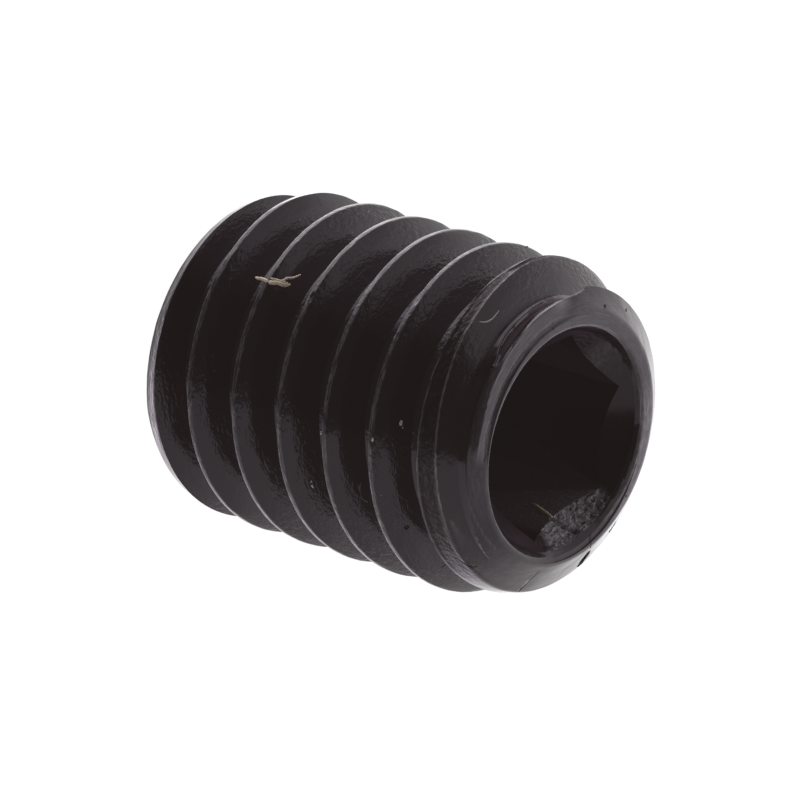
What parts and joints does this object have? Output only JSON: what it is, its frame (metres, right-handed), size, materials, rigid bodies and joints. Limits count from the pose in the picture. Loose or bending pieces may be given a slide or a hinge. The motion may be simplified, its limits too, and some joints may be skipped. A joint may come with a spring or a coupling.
{
  "type": "hexagon socket set screw",
  "caption": "Headless grub screw with a full-length right-hand thread, a chamfered ring round a deep hexagon socket at one end and a cup point at the other.",
  "frame": {"origin": "centre of the cup rim, on the surface the screw stands on", "axes": "+Z along the screw's axis from the cup point to the socket face; +X through one corner of the hexagon"},
  "size_m": [0.0058, 0.0058, 0.0079],
  "materials": {
    "black_oxide_steel": "black oxide with an oil film, semi-gloss"
  },
  "bodies": {
    "root": {"set_screw": "black_oxide_steel"}
  },
  "joints": []
}
